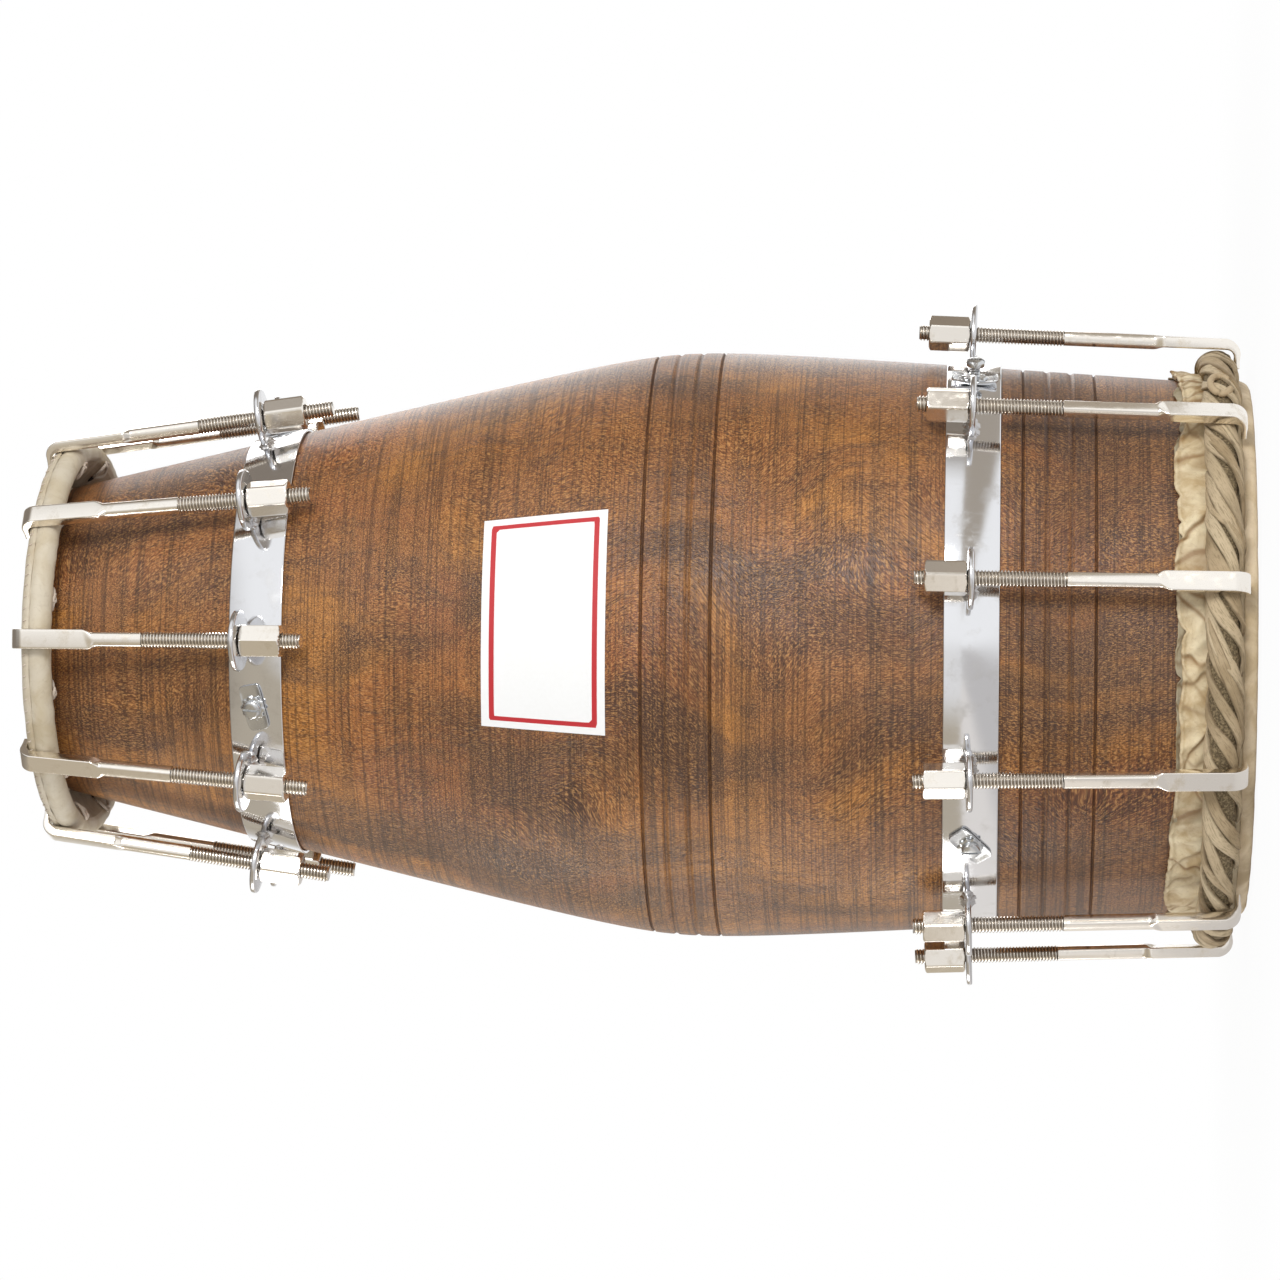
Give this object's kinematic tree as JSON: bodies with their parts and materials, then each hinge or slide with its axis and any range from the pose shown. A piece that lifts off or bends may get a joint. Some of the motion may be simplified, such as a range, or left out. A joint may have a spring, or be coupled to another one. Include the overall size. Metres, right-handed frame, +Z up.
{
  "type": "naal barrel drum",
  "caption": "Two-headed wooden barrel drum of the naal kind, its skins pulled by hooked rods that are tightened with nuts in eyes on two metal belts.",
  "frame": {"origin": "centre of the bass head's rim, on the flat surface that the drum stands on", "axes": "+Z runs up the drum's axis from the bass head to the treble head; -Y points out of the side with the label, and the first treble hook lies in that direction"},
  "size_m": [0.2676, 0.2632, 0.4742],
  "materials": {
    "shell_wood": "satin varnish",
    "head_skin": "dry parchment",
    "rim_skin": "dry parchment",
    "strap_hide": "rough suede",
    "belt_chrome": "polished",
    "hook_nickel": "nickel plated",
    "hoop_steel": "dull",
    "screw_zinc": "zinc plated",
    "tuning_paste": "matt, burnished",
    "inner_paste": "matt",
    "label_paper": "matt"
  },
  "bodies": {
    "drum": {"shell": "shell_wood", "belt_treble": "belt_chrome", "belt_bass": "belt_chrome", "belt_screw_treble_1": "screw_zinc", "belt_screw_treble_2": "screw_zinc", "belt_screw_treble_3": "screw_zinc", "belt_screw_bass_1": "screw_zinc", "belt_screw_bass_2": "screw_zinc", "belt_screw_bass_3": "screw_zinc", "hoop_treble": "hoop_steel", "skin_treble": "head_skin", "rim_skin_treble": "rim_skin", "tuning_paste_treble": "tuning_paste", "hoop_bass": "hoop_steel", "skin_bass": "head_skin", "rim_skin_bass": "rim_skin", "braid_bass": "strap_hide", "inner_paste_bass": "inner_paste", "label": "label_paper"},
    "hook_treble_01": {"hook_treble_01": "hook_nickel"},
    "nut_treble_01": {"nut_treble_01": "hook_nickel"},
    "hook_treble_02": {"hook_treble_02": "hook_nickel"},
    "nut_treble_02": {"nut_treble_02": "hook_nickel"},
    "hook_treble_03": {"hook_treble_03": "hook_nickel"},
    "nut_treble_03": {"nut_treble_03": "hook_nickel"},
    "hook_treble_04": {"hook_treble_04": "hook_nickel"},
    "nut_treble_04": {"nut_treble_04": "hook_nickel"},
    "hook_treble_05": {"hook_treble_05": "hook_nickel"},
    "nut_treble_05": {"nut_treble_05": "hook_nickel"},
    "hook_treble_06": {"hook_treble_06": "hook_nickel"},
    "nut_treble_06": {"nut_treble_06": "hook_nickel"},
    "hook_treble_07": {"hook_treble_07": "hook_nickel"},
    "nut_treble_07": {"nut_treble_07": "hook_nickel"},
    "hook_treble_08": {"hook_treble_08": "hook_nickel"},
    "nut_treble_08": {"nut_treble_08": "hook_nickel"},
    "hook_treble_09": {"hook_treble_09": "hook_nickel"},
    "nut_treble_09": {"nut_treble_09": "hook_nickel"},
    "hook_treble_10": {"hook_treble_10": "hook_nickel"},
    "nut_treble_10": {"nut_treble_10": "hook_nickel"},
    "hook_bass_01": {"hook_bass_01": "hook_nickel"},
    "nut_bass_01": {"nut_bass_01": "hook_nickel"},
    "hook_bass_02": {"hook_bass_02": "hook_nickel"},
    "nut_bass_02": {"nut_bass_02": "hook_nickel"},
    "hook_bass_03": {"hook_bass_03": "hook_nickel"},
    "nut_bass_03": {"nut_bass_03": "hook_nickel"},
    "hook_bass_04": {"hook_bass_04": "hook_nickel"},
    "nut_bass_04": {"nut_bass_04": "hook_nickel"},
    "hook_bass_05": {"hook_bass_05": "hook_nickel"},
    "nut_bass_05": {"nut_bass_05": "hook_nickel"},
    "hook_bass_06": {"hook_bass_06": "hook_nickel"},
    "nut_bass_06": {"nut_bass_06": "hook_nickel"},
    "hook_bass_07": {"hook_bass_07": "hook_nickel"},
    "nut_bass_07": {"nut_bass_07": "hook_nickel"},
    "hook_bass_08": {"hook_bass_08": "hook_nickel"},
    "nut_bass_08": {"nut_bass_08": "hook_nickel"},
    "hook_bass_09": {"hook_bass_09": "hook_nickel"},
    "nut_bass_09": {"nut_bass_09": "hook_nickel"},
    "hook_bass_10": {"hook_bass_10": "hook_nickel"},
    "nut_bass_10": {"nut_bass_10": "hook_nickel"}
  },
  "joints": [
    {"name": "nut_treble_01_turn", "type": "hinge", "parent": "drum", "child": "nut_treble_01", "pos_m": [0, -0.09165, 0.385], "axis": [0, -0.1378, -0.9905], "range_deg": [0, 5041]},
    {"name": "hook_treble_01_slide", "type": "slide", "parent": "drum", "child": "hook_treble_01", "axis": [0, 0.1378, 0.9905], "range_m": [0, 0.01778]},
    {"name": "nut_treble_02_turn", "type": "hinge", "parent": "drum", "child": "nut_treble_02", "pos_m": [-0.05387, -0.07414, 0.385], "axis": [-0.082, -0.1128, -0.9902], "range_deg": [0, 5041]},
    {"name": "hook_treble_02_slide", "type": "slide", "parent": "drum", "child": "hook_treble_02", "axis": [0.082, 0.1128, 0.9902], "range_m": [0, 0.01778]},
    {"name": "nut_treble_03_turn", "type": "hinge", "parent": "drum", "child": "nut_treble_03", "pos_m": [-0.08716, -0.02832, 0.385], "axis": [-0.137, -0.0445, -0.9896], "range_deg": [0, 5041]},
    {"name": "hook_treble_03_slide", "type": "slide", "parent": "drum", "child": "hook_treble_03", "axis": [0.137, 0.0445, 0.9896], "range_m": [0, 0.01778]},
    {"name": "nut_treble_04_turn", "type": "hinge", "parent": "drum", "child": "nut_treble_04", "pos_m": [-0.08716, 0.02832, 0.385], "axis": [-0.1427, 0.0464, -0.9887], "range_deg": [0, 5041]},
    {"name": "hook_treble_04_slide", "type": "slide", "parent": "drum", "child": "hook_treble_04", "axis": [0.1427, -0.0464, 0.9887], "range_m": [0, 0.01778]},
    {"name": "nut_treble_05_turn", "type": "hinge", "parent": "drum", "child": "nut_treble_05", "pos_m": [-0.05387, 0.07414, 0.385], "axis": [-0.0913, 0.1257, -0.9879], "range_deg": [0, 5041]},
    {"name": "hook_treble_05_slide", "type": "slide", "parent": "drum", "child": "hook_treble_05", "axis": [0.0913, -0.1257, 0.9879], "range_m": [0, 0.01778]},
    {"name": "nut_treble_06_turn", "type": "hinge", "parent": "drum", "child": "nut_treble_06", "pos_m": [0, 0.09165, 0.385], "axis": [0, 0.1575, -0.9875], "range_deg": [0, 5041]},
    {"name": "hook_treble_06_slide", "type": "slide", "parent": "drum", "child": "hook_treble_06", "axis": [0, -0.1575, 0.9875], "range_m": [0, 0.01778]},
    {"name": "nut_treble_07_turn", "type": "hinge", "parent": "drum", "child": "nut_treble_07", "pos_m": [0.05387, 0.07414, 0.385], "axis": [0.0913, 0.1257, -0.9879], "range_deg": [0, 5041]},
    {"name": "hook_treble_07_slide", "type": "slide", "parent": "drum", "child": "hook_treble_07", "axis": [-0.0913, -0.1257, 0.9879], "range_m": [0, 0.01778]},
    {"name": "nut_treble_08_turn", "type": "hinge", "parent": "drum", "child": "nut_treble_08", "pos_m": [0.08716, 0.02832, 0.385], "axis": [0.1427, 0.0464, -0.9887], "range_deg": [0, 5041]},
    {"name": "hook_treble_08_slide", "type": "slide", "parent": "drum", "child": "hook_treble_08", "axis": [-0.1427, -0.0464, 0.9887], "range_m": [0, 0.01778]},
    {"name": "nut_treble_09_turn", "type": "hinge", "parent": "drum", "child": "nut_treble_09", "pos_m": [0.08716, -0.02832, 0.385], "axis": [0.137, -0.0445, -0.9896], "range_deg": [0, 5041]},
    {"name": "hook_treble_09_slide", "type": "slide", "parent": "drum", "child": "hook_treble_09", "axis": [-0.137, 0.0445, 0.9896], "range_m": [0, 0.01778]},
    {"name": "nut_treble_10_turn", "type": "hinge", "parent": "drum", "child": "nut_treble_10", "pos_m": [0.05387, -0.07414, 0.385], "axis": [0.082, -0.1128, -0.9902], "range_deg": [0, 5041]},
    {"name": "hook_treble_10_slide", "type": "slide", "parent": "drum", "child": "hook_treble_10", "axis": [-0.082, 0.1128, 0.9902], "range_m": [0, 0.01778]},
    {"name": "nut_bass_01_turn", "type": "hinge", "parent": "drum", "child": "nut_bass_01", "pos_m": [0.02552, -0.12005, 0.1074], "axis": [0.0075, -0.0355, 0.9993], "range_deg": [0, 3601]},
    {"name": "hook_bass_01_slide", "type": "slide", "parent": "drum", "child": "hook_bass_01", "axis": [-0.0075, 0.0355, -0.9993], "range_m": [0, 0.0127]},
    {"name": "nut_bass_02_turn", "type": "hinge", "parent": "drum", "child": "nut_bass_02", "pos_m": [-0.04992, -0.11213, 0.1074], "axis": [-0.0148, -0.0331, 0.9993], "range_deg": [0, 3601]},
    {"name": "hook_bass_02_slide", "type": "slide", "parent": "drum", "child": "hook_bass_02", "axis": [0.0148, 0.0331, -0.9993], "range_m": [0, 0.0127]},
    {"name": "nut_bass_03_turn", "type": "hinge", "parent": "drum", "child": "nut_bass_03", "pos_m": [-0.10629, -0.06137, 0.1074], "axis": [-0.0314, -0.0181, 0.9993], "range_deg": [0, 3601]},
    {"name": "hook_bass_03_slide", "type": "slide", "parent": "drum", "child": "hook_bass_03", "axis": [0.0314, 0.0181, -0.9993], "range_m": [0, 0.0127]},
    {"name": "nut_bass_04_turn", "type": "hinge", "parent": "drum", "child": "nut_bass_04", "pos_m": [-0.12206, 0.01283, 0.1074], "axis": [-0.0361, 0.0038, 0.9993], "range_deg": [0, 3601]},
    {"name": "hook_bass_04_slide", "type": "slide", "parent": "drum", "child": "hook_bass_04", "axis": [0.0361, -0.0038, -0.9993], "range_m": [0, 0.0127]},
    {"name": "nut_bass_05_turn", "type": "hinge", "parent": "drum", "child": "nut_bass_05", "pos_m": [-0.09121, 0.08213, 0.1074], "axis": [-0.027, 0.0243, 0.9993], "range_deg": [0, 3601]},
    {"name": "hook_bass_05_slide", "type": "slide", "parent": "drum", "child": "hook_bass_05", "axis": [0.027, -0.0243, -0.9993], "range_m": [0, 0.0127]},
    {"name": "nut_bass_06_turn", "type": "hinge", "parent": "drum", "child": "nut_bass_06", "pos_m": [-0.02552, 0.12005, 0.1074], "axis": [-0.0075, 0.0355, 0.9993], "range_deg": [0, 3601]},
    {"name": "hook_bass_06_slide", "type": "slide", "parent": "drum", "child": "hook_bass_06", "axis": [0.0075, -0.0355, -0.9993], "range_m": [0, 0.0127]},
    {"name": "nut_bass_07_turn", "type": "hinge", "parent": "drum", "child": "nut_bass_07", "pos_m": [0.04992, 0.11213, 0.1074], "axis": [0.0148, 0.0331, 0.9993], "range_deg": [0, 3601]},
    {"name": "hook_bass_07_slide", "type": "slide", "parent": "drum", "child": "hook_bass_07", "axis": [-0.0148, -0.0331, -0.9993], "range_m": [0, 0.0127]},
    {"name": "nut_bass_08_turn", "type": "hinge", "parent": "drum", "child": "nut_bass_08", "pos_m": [0.10629, 0.06137, 0.1074], "axis": [0.0314, 0.0181, 0.9993], "range_deg": [0, 3601]},
    {"name": "hook_bass_08_slide", "type": "slide", "parent": "drum", "child": "hook_bass_08", "axis": [-0.0314, -0.0181, -0.9993], "range_m": [0, 0.0127]},
    {"name": "nut_bass_09_turn", "type": "hinge", "parent": "drum", "child": "nut_bass_09", "pos_m": [0.12206, -0.01283, 0.1074], "axis": [0.0361, -0.0038, 0.9993], "range_deg": [0, 3601]},
    {"name": "hook_bass_09_slide", "type": "slide", "parent": "drum", "child": "hook_bass_09", "axis": [-0.0361, 0.0038, -0.9993], "range_m": [0, 0.0127]},
    {"name": "nut_bass_10_turn", "type": "hinge", "parent": "drum", "child": "nut_bass_10", "pos_m": [0.09121, -0.08213, 0.1074], "axis": [0.027, -0.0243, 0.9993], "range_deg": [0, 3601]},
    {"name": "hook_bass_10_slide", "type": "slide", "parent": "drum", "child": "hook_bass_10", "axis": [-0.027, 0.0243, -0.9993], "range_m": [0, 0.0127]}
  ],
  "couplings": [
    {"joint": "nut_treble_01_turn", "follows": "hook_treble_01_slide", "rad_per_m": 4947.4},
    {"joint": "nut_treble_02_turn", "follows": "hook_treble_02_slide", "rad_per_m": 4947.4},
    {"joint": "nut_treble_03_turn", "follows": "hook_treble_03_slide", "rad_per_m": 4947.4},
    {"joint": "nut_treble_04_turn", "follows": "hook_treble_04_slide", "rad_per_m": 4947.4},
    {"joint": "nut_treble_05_turn", "follows": "hook_treble_05_slide", "rad_per_m": 4947.4},
    {"joint": "nut_treble_06_turn", "follows": "hook_treble_06_slide", "rad_per_m": 4947.4},
    {"joint": "nut_treble_07_turn", "follows": "hook_treble_07_slide", "rad_per_m": 4947.4},
    {"joint": "nut_treble_08_turn", "follows": "hook_treble_08_slide", "rad_per_m": 4947.4},
    {"joint": "nut_treble_09_turn", "follows": "hook_treble_09_slide", "rad_per_m": 4947.4},
    {"joint": "nut_treble_10_turn", "follows": "hook_treble_10_slide", "rad_per_m": 4947.4},
    {"joint": "nut_bass_01_turn", "follows": "hook_bass_01_slide", "rad_per_m": 4947.4},
    {"joint": "nut_bass_02_turn", "follows": "hook_bass_02_slide", "rad_per_m": 4947.4},
    {"joint": "nut_bass_03_turn", "follows": "hook_bass_03_slide", "rad_per_m": 4947.4},
    {"joint": "nut_bass_04_turn", "follows": "hook_bass_04_slide", "rad_per_m": 4947.4},
    {"joint": "nut_bass_05_turn", "follows": "hook_bass_05_slide", "rad_per_m": 4947.4},
    {"joint": "nut_bass_06_turn", "follows": "hook_bass_06_slide", "rad_per_m": 4947.4},
    {"joint": "nut_bass_07_turn", "follows": "hook_bass_07_slide", "rad_per_m": 4947.4},
    {"joint": "nut_bass_08_turn", "follows": "hook_bass_08_slide", "rad_per_m": 4947.4},
    {"joint": "nut_bass_09_turn", "follows": "hook_bass_09_slide", "rad_per_m": 4947.4},
    {"joint": "nut_bass_10_turn", "follows": "hook_bass_10_slide", "rad_per_m": 4947.4}
  ]
}
